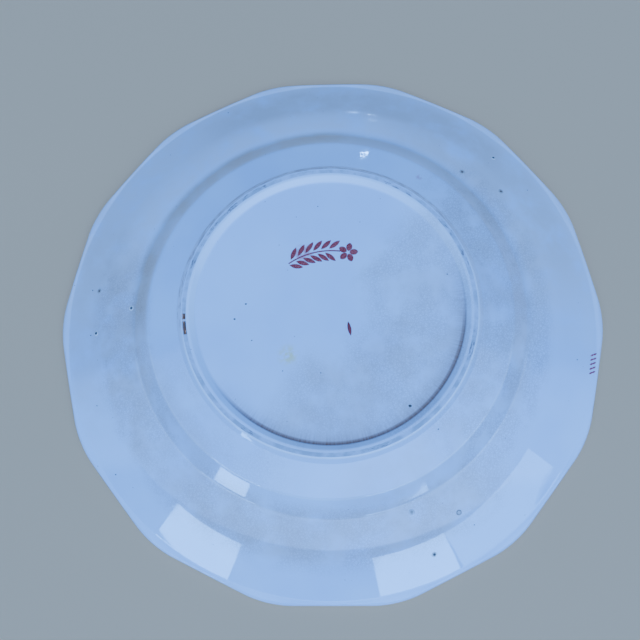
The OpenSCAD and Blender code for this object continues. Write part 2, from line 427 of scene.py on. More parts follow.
@dataclass(frozen=True)
class Glaze:
    """Old bluish glaze: glossy, faintly wavy, finely crazed and stained under the surface, with painted shade
    and painted highlights on the back.
    """

    side: Side
    white: Colour = (0.56, 0.765, 0.94)
    cool: Colour = (0.50, 0.70, 0.90)
    stain: Colour = (0.66, 0.46, 0.35)
    crack: Colour = (0.42, 0.20, 0.12)
    dirt: Colour = (0.34, 0.11, 0.05)
    yellow: Colour = (0.90, 0.72, 0.30)
    crimson: Colour = (0.80, 0.16, 0.22)
    shade: Colour = (0.40, 0.36, 0.32)
    # The colour of the painted shade on the far rim
    far_rim_shade_tint: Colour = (0.74, 0.71, 0.72)
    # The colour of the painted highlights
    highlight_tint: Colour = (0.74, 0.91, 1.0)
    roughness: float = 0.03
    index: float = 1.62
    film_roughness: float = 0.025
    # Sizes of the pattern's parts, in millimetres
    cloud_size: float = 15.0
    crack_spacing: float = 1.5
    fine_crack_spacing: float = 0.8
    pit_spacing: float = 7.5
    # Heights of the relief, in millimetres
    wave_height: float = 0.06
    ripple_height: float = 0.004
    crack_depth: float = 0.004
    pit_depth: float = 0.06

    # Inner and outer radii of the back's edges, in millimetres, where the painted highlights and the step's
    # dark line lie
    RING_SLOPE = (61.8, 64.6)
    RING_EDGE = (67.0, 67.7)
    STEP = (67.5, 69.2)
    WALL_TOP = (84.4, 84.9)
    WALL_FOOT = (93.0, 93.4)

    # Azimuth, half width, inner and outer radius, strength, softness
    STAINED_AND_SHADED = (
        Patch(270, 34, 94, 108, 0.75),
        Patch(192, 16, 92, 108, 0.8, 6),
        Patch(214, 10, 84, 104, 0.4),
        Patch(2, 30, 72, 92, 0.5),
        Patch(305, 20, 74, 86, 0.4),
        Patch(40, 20, 96, 122, 0.35),
        Patch(180, 14, 112, 126, 0.4),
        Patch(80, 30, 112, 122, 0.6),
        # Partly a real stain and partly painted shade: the darker foot of the wall on the far side
        Patch(135, 42, 87, 93, 0.9, 3),
        Patch(300, 48, 34, 56, 0.55, 16),
        Patch(10, 26, 30, 58, 0.4, 14),
    )
    CRAZED = (
        Patch(350, 50, 26, 58, 0.9, 16),
        Patch(290, 40, 30, 58, 0.75, 14),
        Patch(0, 42, 72, 100, 1.0, 8),
        Patch(270, 40, 92, 112, 0.9, 8),
        Patch(192, 22, 88, 110, 0.9, 8),
        Patch(226, 20, 72, 88, 0.5, 8),
    )

    def material(self) -> bpy.types.Material:
        """Mixes the glaze.

        Returns:
            The finished material.
        """
        mix = Recipe(f"glaze_{self.side.value}")
        broad = mix.noise(38, 2, seed=11)
        cloud = mix.noise(self.cloud_size, 3, seed=40)
        colour = mix.mix(broad.rise(0.35, 0.68), self.white, self.cool)
        if self.side is Side.BACK:
            colour = self._back_marks(mix, colour, cloud)
        lines = self._craze(mix)
        if self.side is Side.BACK:
            crazed = strongest(patch.mask(mix) for patch in self.CRAZED)
        else:
            crazed = mix.noise(60, 1, seed=7).rise(0.45, 0.6)
        crazed = crazed * mix.noise(14, 3, seed=90).rise(0.34, 0.56)
        colour = mix.mix(lines * crazed * 0.5, colour, self.crack)
        pits = mix.cells(self.pit_spacing, "F1", "Distance")
        colour = mix.mix(pits.rise(0.045, 0.02) * 0.6, colour, self.dirt)
        sheen = self.roughness + cloud.rise(0.5, 0.75) * 0.03
        waves = mix.noise(16, 1, seed=5) * self.wave_height + mix.noise(4, 2, seed=3) * self.ripple_height
        relief = waves - lines * crazed * self.crack_depth - pits.rise(0.06, 0.0) * self.pit_depth
        mix.surface(
            colour, sheen, relief, IOR=self.index, Coat_Weight=1.0, Coat_Roughness=self.film_roughness
        )
        return mix.material

    def _craze(self, mix: Recipe) -> Value:
        """Draws the net of fine cracks.

        Args:
            mix: The material.

        Returns:
            Lines of 1 on 0.
        """
        drift = mix.node("ShaderNodeTexNoise", {}, {"Vector": mix.place, "Scale": 0.4}, "Color")
        place = mix.vector("ADD", mix.place, mix.vector("SCALE", drift, scale=1.3))
        edge = mix.cells(self.crack_spacing, "DISTANCE_TO_EDGE", "Distance", place)
        fine = mix.cells(self.fine_crack_spacing, "DISTANCE_TO_EDGE", "Distance", place)
        return (edge.rise(0.13, 0.02) * 0.7).most(fine.rise(0.18, 0.02) * 0.6)

    def _back_marks(self, mix: Recipe, colour: Value, cloud: Value) -> Value:
        """Stains of the back: clouds, the brown ring inside the foot, and small marks of colour; also painted
        shade on the far rim and far wall, and painted highlights on the foot ring's inner slope and outer
        edge and on the wall's bends.

        Args:
            mix: The material.
            colour: The glaze's own colour.
            cloud: A cloudy noise.

        Returns:
            The stained colour.
        """
        # Painted shade: the rim on the far side is turned greyer and warmer
        far_rim_shade = mix.toward(90, 74, 34) * mix.radius.rise(92, 99) * cloud.rise(0.1, 0.6)
        # Painted shade: a darker, greyer band on the wall, on the far side
        far_wall_shade = mix.toward(105, 62, 34) * mix.radius.rise(82, 91) * mix.radius.rise(97, 91)
        # Painted highlights: paler glaze on the foot ring's inner slope on the far side, along its outer edge
        # on the near side, and along the wall's top and foot on the near side
        far_slope_highlight = mix.toward(100, 78, 34) * mix.band(*self.RING_SLOPE, 0.7)
        near_edge_highlight = mix.toward(285, 84, 24) * mix.band(*self.RING_EDGE, 0.25)
        wall_edge_highlights = mix.band(*self.WALL_TOP, 0.4).most(mix.band(*self.WALL_FOOT, 0.4) * 0.8)
        painted_highlights = strongest((far_slope_highlight * 0.75, near_edge_highlight * 0.8, mix.toward(270, 66, 30) * wall_edge_highlights * 0.45))
        clouded = strongest(patch.mask(mix) for patch in self.STAINED_AND_SHADED) * cloud.rise(0.22, 0.66)
        worn = mix.noise(0.7, 4, mix.around(7), seed=17).rise(0.42, 0.62)
        # A broken dark line in the corner under the foot ring's outer step, on the far side only
        step = mix.toward(110, 62, 26) * mix.band(*self.STEP, 0.5) * worn
        yellowed = mix.spot(-18.6, -21.8, 1.5, 4.5) * mix.noise(3, 3, seed=61).rise(0.36, 0.6)
        smudge = mix.spot(-12, 26, 2.4, 3.2) * mix.noise(2.2, 4, seed=23).rise(0.35, 0.6)
        fleck = mix.spot(43.4, 64.8, 0.6, 1.6) * mix.noise(1.2, 2, seed=2).rise(0.4, 0.6)
        layers = (
            # painted shade on the far rim
            (far_rim_shade * 0.8, self.far_rim_shade_tint),
            # painted shade on the far wall
            (far_wall_shade * 0.42, self.shade),
            # painted highlights on the foot ring and on the wall's bends
            (painted_highlights, self.highlight_tint),
            # stains, with painted shade at the far wall's foot
            (clouded * 0.72, self.stain),
            (self._corner(mix), self.dirt),
            # the broken dark line under the step, on the far side only
            (step * 0.45, self.dirt),
            (yellowed * 0.85, self.yellow),
            (smudge * 0.75, self.crimson),
            (fleck * 0.5, self.crimson),
        )
        for amount, tint in layers:
            colour = mix.mix(amount, colour, tint)
        return colour

    @staticmethod
    def _corner(mix: Recipe) -> Value:
        """Gathers dirt in the corner between base and foot ring, spreading inwards on the near side.

        Args:
            mix: The material.

        Returns:
            How much dirt lies at each place.
        """
        turned = mix.node("ShaderNodeCombineXYZ", {}, {0: mix.x / mix.radius, 1: mix.y / mix.radius, 2: 0.0})
        streaks = mix.noise(0.014, 4, turned).rise(0.28, 0.72)
        outside = mix.radius.rise(62.3, 61.5)
        spread = mix.toward(298, 50, 40) * mix.radius.rise(49, 61.8) ** 3.0 * (0.32 + streaks * 0.36)
        line = mix.toward(292, 50, 34) * mix.radius.rise(59.2, 60.7) * (0.82 + streaks * 0.15)
        return spread.most(line) * outside


@dataclass(frozen=True)
class Chip:
    """Two small chips broken out of the foot ring's crest, side by side, with dirt ground into them."""

    azimuths: tuple[float, float] = (183.4, 188.0)
    half_widths: tuple[float, float] = (0.9, 2.4)
    inner: float = 65.1
    outer: float = 66.8
    depth: float = 0.45

    def holds(self, at: Vector) -> bool:
        """Tells whether a point lies in one of the chips.

        Args:
            at: The point, in millimetres.

        Returns:
            True inside a chip's outline.
        """
        turn = math.degrees(math.atan2(at.y, at.x)) % 360
        near = any(abs(turn - azimuth) < width for azimuth, width in zip(self.azimuths, self.half_widths))
        return near and self.inner < at.xy.length < self.outer

    def mask(self, recipe: Recipe) -> Value:
        """Finds the chips in a material.

        Args:
            recipe: The material.

        Returns:
            A mask that is 1 in the chips.
        """
        places = zip(self.azimuths, self.half_widths)
        wedges = strongest(recipe.toward(azimuth, width, 0.5) for azimuth, width in places)
        return wedges * recipe.band(self.inner + 0.2, self.outer - 0.3, 0.3)


@dataclass(frozen=True)
class Clay:
    """Fired clay worn bare on the crest of the foot ring: matt, greyish and ingrained with dirt."""

    pale: Colour = (0.52, 0.62, 0.74)
    grey: Colour = (0.38, 0.44, 0.50)
    dirt: Colour = (0.20, 0.065, 0.03)
    rust: Colour = (0.90, 0.28, 0.10)
    roughness: float = 0.55

    # Where the dirt has settled: azimuth and half width in degrees
    SETTLED = ((20, 3), (35, 4), (60, 6), (122, 5), (139, 9), (158, 5), (237, 2), (289, 4), (344, 6))

    def material(self) -> bpy.types.Material:
        """Mixes the clay.

        Returns:
            The finished material.
        """
        mix = Recipe("worn_clay")
        mottle = mix.noise(5, 5, seed=8)
        grain = mix.noise(0.7, 3, seed=31)
        colour = mix.mix(mottle.rise(0.35, 0.65), self.pale, self.grey)
        colour = mix.mix(grain.rise(0.55, 0.75) * 0.4, colour, self.grey)
        settled = strongest(mix.toward(azimuth, width, 1.2) for azimuth, width in self.SETTLED)
        blots = mix.noise(0.6, 4, mix.around(5), seed=55)
        dirty = settled * blots.rise(0.52, 0.62)
        colour = mix.mix(dirty * 0.6, colour, self.dirt)
        chipped = Chip().mask(mix)
        colour = mix.mix(chipped, colour, mix.mix(blots.rise(0.52, 0.6), self.dirt, self.rust))
        relief = mottle * 0.05 + grain * 0.03 - dirty * 0.05
        mix.surface(colour, self.roughness - grain * 0.15, relief, IOR=1.48)
        return mix.material


@dataclass(frozen=True)
class Ink:
    """Crimson transfer print under the glaze, uneven as a worn copper plate leaves it."""

    name: str
    deep: Colour = (0.36, 0.01, 0.012)
    thin: Colour = (0.80, 0.15, 0.12)
    grain: float = 0.5
    fade: float = 0.55

    def material(self) -> bpy.types.Material:
        """Mixes the ink.

        Returns:
            The finished material.
        """
        mix = Recipe(self.name)
        worn = mix.noise(self.grain, 4, seed=71)
        broad = mix.noise(7, 2, seed=19)
        thinning = (worn.rise(0.4, 0.66) * self.fade + broad.rise(0.45, 0.7) * 0.35).least(1.0)
        colour = mix.mix(thinning, self.deep, self.thin)
        mix.surface(colour, 0.2 + worn * 0.06, worn * 0.01, IOR=1.45, Coat_Weight=0.1, Coat_Roughness=0.1)
        return mix.material


@dataclass(frozen=True)
class Tone:
    """The colours of one spur scar: its broken middle, and the glaze drawn up around it."""

    middle: Colour
    rim: Colour


@dataclass(frozen=True)
class Scar:
    """A group of spur scars: rough broken middles inside smooth rims."""

    name: str
    tones: tuple[Tone, Tone, Tone]

    def material(self, middles: Sequence[Vector], size: float) -> bpy.types.Material:
        """Mixes the scars' colours.

        Args:
            middles: The middles of the scars, in millimetres.
            size: The radius of the broken part, in millimetres.

        Returns:
            The finished material.
        """
        mix = Recipe(self.name)
        crumbs = mix.noise(0.35, 4, seed=29)
        colour = self.tones[0].rim
        hearts = []
        for at, tone in zip(middles, self.tones):
            colour = mix.mix(mix.spot(at.x, at.y, size * 4, 0.5), colour, tone.rim)
            heart = mix.spot(at.x, at.y, size * 0.6, size * 0.7) * (0.7 + crumbs * 0.5).least(1.0)
            colour = mix.mix(heart, colour, tone.middle)
            hearts.append(heart)
        broken = strongest(hearts)
        mix.surface(colour, 0.16 + broken * 0.5, crumbs * 0.12 * broken, IOR=1.5)
        return mix.material


@dataclass(frozen=True)
class Iron:
    """Specks of iron that boiled out of the clay and burst through the glaze."""

    dark: Colour = (0.035, 0.022, 0.018)
    rust: Colour = (0.20, 0.10, 0.05)

    def material(self) -> bpy.types.Material:
        """Mixes the specks' colour.

        Returns:
            The finished material.
        """
        mix = Recipe("iron_speck")
        crumbs = mix.noise(0.3, 4, seed=44)
        colour = mix.mix(crumbs.rise(0.42, 0.62), self.dark, self.rust)
        mix.surface(colour, 0.35 + crumbs * 0.3, crumbs * 0.08, IOR=1.6)
        return mix.material


# --- The plate's section ---


@dataclass(frozen=True)
class Bend:
    """A corner of the section: its distance from the axis, its height, and the radius that rounds it."""

    r: float
    z: float
    bend: float = 0.0

    @property
    def at(self) -> Vector:
        """The corner as a point of the section's plane."""
        return Vector((self.r, self.z))


def run_to(points: list[Vector], end: Vector, step: float) -> None:
    """Adds a straight run to a line of points, with close points at both ends to hold the shading.

    Args:
        points: The line so far, which grows.
        end: Where the run ends.
        step: The longest distance between two points.
    """
    start = points[-1]
    way = end - start
    length = way.length
    if length < TOUCHING:
        return
    hold = 0.35
    middle = length - 2 * hold
    if length > 4 * hold:
        count = max(1, math.ceil(middle / step))
        for i in range(count + 1):
            points.append(start + way * ((hold + middle * i / count) / length))
    points.append(end)


def drawn(bends: Sequence[Bend], turn: float = 4.0, step: float = 5.0) -> list[Vector]:
    """Draws a line of corners with their bends.

    Args:
        bends: The corners, in order.
        turn: The most that the line turns from one point of a bend to the next, in degrees.
        step: The longest distance between two points of a straight run.

    Returns:
        The points of the line.
    """
    points = [bends[0].at]
    for before, here, after in zip(bends, bends[1:], bends[2:]):
        back = (before.at - here.at).normalized()
        ahead = (after.at - here.at).normalized()
        half = (math.pi - back.angle(ahead)) / 2
        reach = here.bend * math.tan(half)
        run_to(points, here.at + back * reach, step)
        if here.bend == 0:
            continue
        centre = here.at + (back + ahead).normalized() * (here.bend / math.cos(half))
        spoke = points[-1] - centre
        sign = 1 if back.x * ahead.y - back.y * ahead.x < 0 else -1
        steps = max(2, math.ceil(math.degrees(2 * half) / turn))
        for i in range(1, steps + 1):
            points.append(centre + Matrix.Rotation(sign * 2 * half * i / steps, 2) @ spoke)
    run_to(points, bends[-1].at, step)
    return points


def sunk(points: Sequence[Vector], depth: float) -> list[Vector]:
    """Moves a line of points sideways.

    Args:
        points: The line.
        depth: How far it goes to its right-hand side, looking along it.

    Returns:
        The moved line.
    """
    moved = []
    for i, point in enumerate(points):
        ahead = points[min(i + 1, len(points) - 1)] - point
        behind = point - points[max(i - 1, 0)]
        way = (ahead.normalized() + behind.normalized()).normalized()
        moved.append(point + Vector((way.y, -way.x)) * depth)
    return moved


@dataclass(frozen=True)
class Section:
    """The plate's section in millimetres. The plate lies face down, so its back is the upper line."""

    height: float = CAD_BOX[1].z / MM
    half_across: float = CAD_BOX[1].y / MM
    lip_height: float = 3.6
    lip_roll: float = 1.4
    lip_land: float = 2.1
    lip_bend: float = 2.2
    shelf_end: Bend = Bend(104.0, 16.6, 60)
    wall_foot: Bend = Bend(93.1, 18.9, 6)
    wall_top: Bend = Bend(84.7, 25.9, 5)
    step_foot: Bend = Bend(69.6, 32.0, 1.5)
    foot_radius: float = 67.3
    foot_width: float = 3.4
    recess: Bend = Bend(61.0, 32.2, 2)
    base_thickness: float = 5.4
    wall_thickness: float = 4.4
    rim_thickness: float = 4.1
    coat: float = 0.3
    land: tuple[float, float] = (65.1, 66.9)
    lip_bare: float = 128.6
    pole: float = 1.5
    crest_bends: tuple[float, float] = (0.9, 1.5)
    well_bend: float = 30.0
    wall_bend: float = 8.0
    ground_bend: float = 4.0

    @property
    def lip_start(self) -> Bend:
        """The corner between the rim's slope and the land behind its edge."""
        return Bend(self.half_across - self.lip_land, self.lip_height, self.lip_bend)

    @property
    def seam(self) -> float:
        """How far inside the outline the back's coat meets the lip's."""
        return self.lip_roll + 0.05

    def back(self) -> list[Vector]:
        """Draws the upper line from the land behind the lip inwards to the foot ring's worn crest.

        Returns:
            The points of the line.
        """
        outer = Bend(self.half_across - self.seam - 0.1, self.lip_height)
        crest = Bend(self.foot_radius, self.height, self.crest_bends[0])
        rim = [outer, self.lip_start, self.shelf_end]
        corners = [*rim, self.wall_foot, self.wall_top, self.step_foot, crest]
        return drawn([*corners, Bend(self.land[1], self.height)])

    def base(self) -> list[Vector]:
        """Draws the upper line from the worn crest of the foot ring inwards to the middle.

        Returns:
            The points of the line.
        """
        crest = Bend(self.foot_radius - self.foot_width, self.height, self.crest_bends[1])
        start = Bend(self.land[0], self.height)
        return drawn([start, crest, self.recess, Bend(self.pole, self.recess.z)])

    def face(self) -> list[Vector]:
        """Draws the lower line from the middle of the well outwards to the land under the lip.

        Returns:
            The points of the line.
        """
        rim = self._under(self.lip_start, self.shelf_end, self.rim_thickness)
        shelf = self._under(self.shelf_end, self.wall_foot, self.rim_thickness)
        wall = self._under(self.wall_foot, self.wall_top, self.wall_thickness)
        shoulder = self._under(self.wall_top, self.step_foot, self.wall_thickness)
        well = (Vector((0, self.recess.z - self.base_thickness)), Vector((1, 0)))
        ground = (Vector((0, 0)), Vector((1, 0)))
        corners = (
            (self._meet(shoulder, well), self.well_bend),
            (self._meet(wall, shoulder), self.wall_bend),
            (self._meet(shelf, wall), self.wall_bend),
            (self._meet(rim, shelf), self.shelf_end.bend - self.rim_thickness),
            (self._meet(rim, ground), self.ground_bend),
        )
        bends = [Bend(at.x, at.y, bend) for at, bend in corners]
        return drawn([Bend(self.pole, well[0].y), *bends, Bend(self.lip_bare, 0)])

    @staticmethod
    def _under(outer: Bend, inner: Bend, thickness: float) -> tuple[Vector, Vector]:
        """A line of the back moved down through the wall, as a point and a direction."""
        way = (inner.at - outer.at).normalized()
        return outer.at + Vector((way.y, -way.x)) * -thickness, way

    @staticmethod
    def _meet(one: tuple[Vector, Vector], other: tuple[Vector, Vector]) -> Vector:
        """Finds where two lines meet.

        Args:
            one: A line, as a point and a direction.
            other: The other line.

        Returns:
            The point that is on both.
        """
        (a, u), (b, v) = one, other
        gap = b - a
        return a + u * ((gap.x * v.y - gap.y * v.x) / (u.x * v.y - u.y * v.x))

    def rest_on_back(self, radius: float) -> tuple[float, float]:
        """Finds the back's surface at a distance from the axis.

        Args:
            radius: The distance, in millimetres.

        Returns:
            The surface's height in millimetres, and how steeply it falls outwards as an angle.
        """
        line = self.back()
        for outer, inner in zip(line, line[1:]):
            if inner.x <= radius <= outer.x:
                share = (radius - inner.x) / (outer.x - inner.x)
                fall = math.atan2(inner.y - outer.y, outer.x - inner.x)
                return inner.y + (outer.y - inner.y) * share, fall
        raise ValueError(f"the back has no surface at {radius} mm")


# --- Modelling ---


@dataclass(frozen=True)
class Outline:
    """The fourteen-sided outline with rounded corners, in millimetres."""

    half_across: float
    sides: int = 14
    corner_round: float = 54.0
    corner_cuts: int = 10
    side_cuts: int = 11

    @property
    def corner_reach(self) -> float:
        """How far each rounding reaches along a side from the sharp corner."""
        return self.corner_round * math.tan(math.pi / self.sides)

    @property
    def full_corner(self) -> float:
        """The distance of a sharp corner from the middle."""
        return self.half_across / math.cos(math.pi / self.sides)


class Wheel:
    """Throws a shape as a potter does: one ring of edges is drawn out along a section."""

    def __init__(self, name: str) -> None:
        """Starts with nothing selected.

        Args:
            name: The piece's name.
        """
        self.name = name
        self.radius = 0.0
        self.height = 0.0
        bpy.ops.object.select_all(action="DESELECT")

    def start_round(self, at: Vector, count: int) -> "Wheel":
        """Adds a circle.

        Args:
            at: Its radius and height, in millimetres.
            count: The number of its corners.

        Returns:
            The wheel itself.
        """
        bpy.ops.mesh.primitive_circle_add(vertices=count, radius=at.x * MM, fill_type="NOTHING")
        return self._begin(at.x, at.y)

    def start_sided(self, outline: Outline, inset: float, height: float) -> "Wheel":
        """Adds a fourteen-sided ring with rounded corners.

        Args:
            outline: The outline.
            inset: How far inside the outline the ring lies.
            height: The ring's height.

        Returns:
            The wheel itself.
        """
        radius = outline.full_corner * MM
        bpy.ops.mesh.primitive_circle_add(vertices=outline.sides, radius=radius, fill_type="NOTHING")
        self._begin(outline.half_across, 0.0)
        bpy.ops.transform.rotate(value=-self._first_corner(), orient_axis="Z", center_override=(0, 0, 0))
        bpy.ops.mesh.bevel(
            offset=outline.corner_reach * MM,
            offset_type="OFFSET",
            segments=outline.corner_cuts,
            profile=ARC_PROFILE,
            affect="VERTICES",
        )
        self._select_long_edges(outline)
        bpy.ops.mesh.subdivide(number_cuts=outline.side_cuts)
        bpy.ops.mesh.select_all(action="SELECT")
        bpy.ops.transform.translate(value=(0, 0, height * MM))
        self.height = height
        self._scale_to(outline.half_across - inset)
        return self

    def _begin(self, radius: float, height: float) -> "Wheel":
        """Names the new object and enters edit mode with all of it selected.

        Args:
            radius: The ring's radius, in millimetres.
            height: The height that it is moved to.

        Returns:
            The wheel itself.
        """
        self.piece = bpy.context.object
        self.piece.name = self.name
        self.piece.data.name = self.name
        bpy.ops.object.mode_set(mode="EDIT")
        bpy.ops.mesh.select_all(action="SELECT")
        if height:
            bpy.ops.transform.translate(value=(0, 0, height * MM))
        self.radius, self.height = radius, height
        return self

    def _first_corner(self) -> float:
        """Finds the new ring's corner that is nearest to the X axis.

        Returns:
            Its direction from the middle, as an angle.
        """
        self.piece.update_from_editmode()
        turns = [math.atan2(v.co.y, v.co.x) for v in self.piece.data.vertices]
        return min(turns, key=abs)

    def _select_long_edges(self, outline: Outline) -> None:
        """Selects the straight edges that the rounding left between the corners.

        Args:
            outline: The outline that is being drawn.
        """
        self.piece.update_from_editmode()
        mesh = self.piece.data
        limit = outline.corner_round * MM * 0.5
        bpy.ops.mesh.select_all(action="DESELECT")
        bpy.ops.object.mode_set(mode="OBJECT")
        for edge in mesh.edges:
            ends = [mesh.vertices[i].co for i in edge.vertices]
            edge.select = (ends[0] - ends[1]).length > limit
        bpy.ops.object.mode_set(mode="EDIT")

    def _scale_to(self, radius: float) -> None:
        """Scales the selected ring about the axis.

        Args:
            radius: Its new radius, in millimetres.
        """
        share = radius / self.radius
        bpy.ops.transform.resize(value=(share, share, 1), center_override=(0, 0, self.height * MM))
        self.radius = radius

    def draw_to(self, at: Vector) -> None:
        """Extrudes the ring to a new radius and height.

        Args:
            at: The new radius and height, in millimetres.
        """
        rise = (at.y - self.height) * MM
        bpy.ops.mesh.extrude_edges_move(TRANSFORM_OT_translate={"value": (0, 0, rise)})
        self.height = at.y
        self._scale_to(at.x)

    def draw_along(self, points: Sequence[Vector]) -> None:
        """Draws the ring through each point in turn.

        Args:
            points: The radii and heights, in millimetres.
        """
        for at in points:
            if (at - Vector((self.radius, self.height))).length > TOUCHING:
                self.draw_to(at)

    def make_round(self, at: Vector) -> None:
        """Extrudes the sided ring to a true circle.

        Args:
            at: The circle's radius and height, in millimetres.
        """
        self.draw_to(Vector((self.radius - 0.05, at.y)))
        bpy.ops.transform.tosphere(value=1.0)
        self.piece.update_from_editmode()
        ring = [v.co for v in self.piece.data.vertices if v.select]
        self.radius = sum(co.xy.length for co in ring) / len(ring) / MM
        self._scale_to(at.x)

    def cap(self) -> None:
        """Closes the selected ring with a face."""
        bpy.ops.mesh.edge_face_add()

    def take(self, radius: float, height: float) -> None:
        """Selects the open ring at a place, to draw on from it.

        Args:
            radius: The ring's radius, in millimetres, at the middle of a side.
            height: Its height, in millimetres.
        """
        bpy.ops.object.mode_set(mode="OBJECT")
        mesh = self.piece.data
        # The corners of a sided ring lie a little further out than the middles of its sides
        close, out = 0.02, radius * 1.02
        for vertex in mesh.vertices:
            away = vertex.co.xy.length / MM
            level = abs(vertex.co.z / MM - height) < close
            vertex.select = level and radius - close <= away <= out
        for edge in mesh.edges:
            edge.select = all(mesh.vertices[i].select for i in edge.vertices)
        for face in mesh.polygons:
            face.select = False
        bpy.ops.object.mode_set(mode="EDIT")
        self.radius, self.height = radius, height

    def close_along(self, points: Sequence[Vector]) -> None:
        """Caps a small mark's foot, draws it up through each point and caps its top.

        Args:
            points: The radii and heights, in millimetres.
        """
        self.cap()
        self.draw_along(points)
        self.cap()
        bpy.ops.mesh.select_all(action="SELECT")
        bpy.ops.mesh.normals_make_consistent(inside=False)

    def place_small(self, at: Vector) -> bpy.types.Object:
        """Moves a small mark to its place and takes it off the wheel.

        Args:
            at: The place, in millimetres.

        Returns:
            The mark.
        """
        bpy.ops.transform.translate(value=at * MM)
        bpy.ops.object.mode_set(mode="OBJECT")
        bpy.ops.object.shade_smooth_by_angle(angle=math.radians(SMOOTH_SMALL))
        return self.piece

    def lift_off(self, slot: str, *nodes: str) -> bpy.types.Object:
        """Closes the shape and takes it off the wheel.

        Args:
            slot: The record's material slot.
            nodes: The CAD nodes that the piece stands for.

        Returns:
            The finished piece.
        """
        bpy.ops.mesh.select_all(action="SELECT")
        bpy.ops.mesh.remove_doubles(threshold=WELD * MM)
        bpy.ops.mesh.normals_make_consistent(inside=False)
        bpy.ops.object.mode_set(mode="OBJECT")
        Droop().bend(self.piece)
        bpy.ops.object.shade_smooth_by_angle(angle=math.radians(SMOOTH))
        return settle(self.piece, slot, *nodes)


def settle(piece: bpy.types.Object, slot: str, *nodes: str) -> bpy.types.Object:
    """Puts a finished piece on the plate's body.

    Args:
        piece: The piece, in place.
        slot: The record's material slot; not used.
        nodes: The CAD nodes that it stands for.

    Returns:
        The piece.
    """
    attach(piece, BODY)
    if nodes:
        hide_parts(*nodes)
    stands_for = ", ".join(nodes) or "nothing"
    log.info("%s: %d faces, stands for %s", piece.name, len(piece.data.polygons), stands_for)
    return piece


@dataclass(frozen=True)
class Droop:
    """The rim's corners hang a little lower than its flat sides, as the slope runs on to them."""

    start: float = 131.0
    share: float = 0.1

    def bend(self, piece: bpy.types.Object) -> None:
        """Lowers what lies beyond the start, by a share of its height for each millimetre.

        Args:
            piece: The piece, which is changed.
        """
        for vertex in piece.data.vertices:
            beyond = max(0.0, vertex.co.xy.length / MM - self.start)
            vertex.co.z *= 1 - self.share * beyond


def twins(pattern: bpy.types.Object, count: int) -> list[bpy.types.Object]:
    """Copies a small mark, each copy with its own mesh.

    Args:
        pattern: The mark.
        count: How many are wanted in all.

    Returns:
        The mark itself and its copies.
    """
    pieces = [pattern]
    for _ in range(count - 1):
        twin = pattern.copy()
        twin.data = pattern.data.copy()
        bpy.context.scene.collection.objects.link(twin)
        pieces.append(twin)
    return pieces


def joined(pieces: Sequence[bpy.types.Object], name: str) -> bpy.types.Object:
    """Joins small pieces into one.

    Args:
        pieces: The pieces.
        name: The name of what they make together.

    Returns:
        The joined piece.
    """
    bpy.ops.object.select_all(action="DESELECT")
    for piece in pieces:
        piece.select_set(True)
    bpy.context.view_layer.objects.active = pieces[0]
    bpy.ops.object.join()
    pieces[0].name = pieces[0].data.name = name
    return pieces[0]


def dress(piece: bpy.types.Object, material: bpy.types.Material) -> None:
    """Gives a piece one material."""
    piece.data.materials.clear()
    piece.data.materials.append(material)


# --- The plate ---


@dataclass
class ClayBody:
    """The fired clay under the glaze, bare on the crest of the foot ring and under the lip."""

    section: Section
    outline: Outline
    crest_step: float = 0.3

    def build(self) -> bpy.types.Object:
        """Throws the body.

        Returns:
            The piece.
        """
        section = self.section
        coat = section.coat
        roll, top = section.lip_roll, section.lip_height - coat
        wheel = Wheel("clay_plate").start_sided(self.outline, roll, top)
        edge = wheel.radius
        wheel.draw_to(Vector((edge, 0)))
        wheel.make_round(Vector((section.lip_bare, 0)))
        face = list(reversed(sunk(section.face(), -coat)))
        wheel.draw_to(face[0])
        wheel.draw_along(face)
        wheel.cap()
        wheel.take(edge, top)
        back = sunk(section.back(), -coat)
        wheel.make_round(back[0])
        wheel.draw_along(back)
        crest = [Vector((section.land[1], section.height))]
        run_to(crest, Vector((section.land[0], section.height)), self.crest_step)
        wheel.draw_along(crest)
        wheel.draw_along(sunk(section.base(), -coat))
        wheel.cap()
        self._chip(wheel.piece)
        piece = wheel.lift_off("fired_clay", "clay_body")
        dress(piece, Clay().material())
        return piece

    def _chip(self, piece: bpy.types.Object) -> None:
        """Presses the chips into the crest of the foot ring.

        Args:
            piece: The clay, which is changed.
        """
        chip = Chip()
        bpy.ops.object.mode_set(mode="OBJECT")
        floor = (self.section.height - 0.01) * MM
        for vertex in piece.data.vertices:
            vertex.select = vertex.co.z > floor and chip.holds(vertex.co / MM)
        for edge in piece.data.edges:
            edge.select = all(piece.data.vertices[i].select for i in edge.vertices)
        for face in piece.data.polygons:
            face.select = all(piece.data.vertices[i].select for i in face.vertices)
        bpy.ops.object.mode_set(mode="EDIT")
        bpy.ops.transform.translate(value=(0, 0, -chip.depth * MM))


